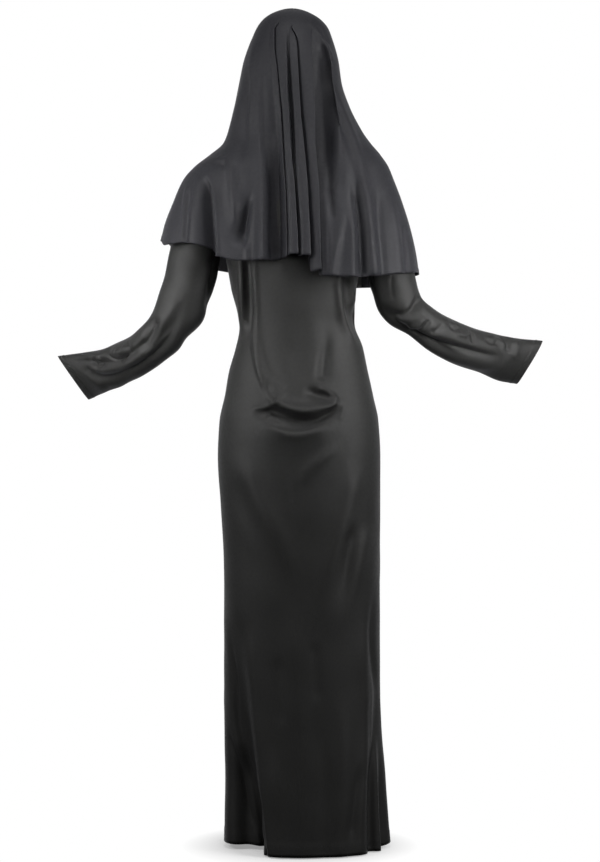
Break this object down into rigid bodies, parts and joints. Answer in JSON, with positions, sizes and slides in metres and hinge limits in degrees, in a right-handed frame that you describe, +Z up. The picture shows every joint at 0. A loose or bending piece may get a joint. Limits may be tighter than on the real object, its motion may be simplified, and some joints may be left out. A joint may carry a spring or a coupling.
{
  "type": "nun costume",
  "caption": "Worn black nun costume: long close-fitting habit with set-in sleeves, white bib collar, and a black veil falling from the crown over the shoulders, hollow inside.",
  "frame": {"origin": "in the neck opening, level with the shoulder seams, where the wearer's neck and shoulders carry the costume", "axes": "+Z up from the hem to the crown of the veil, -Y the front, +X the garment's own left"},
  "size_m": [1.018, 0.3591, 1.6961],
  "materials": {
    "habit": "satin",
    "collar": "matt",
    "veil": "satin"
  },
  "bodies": {
    "root": {"habit_back": "habit", "habit_front": "habit", "sleeve_left": "habit", "sleeve_right": "habit", "collar": "collar", "veil": "veil"}
  },
  "joints": []
}
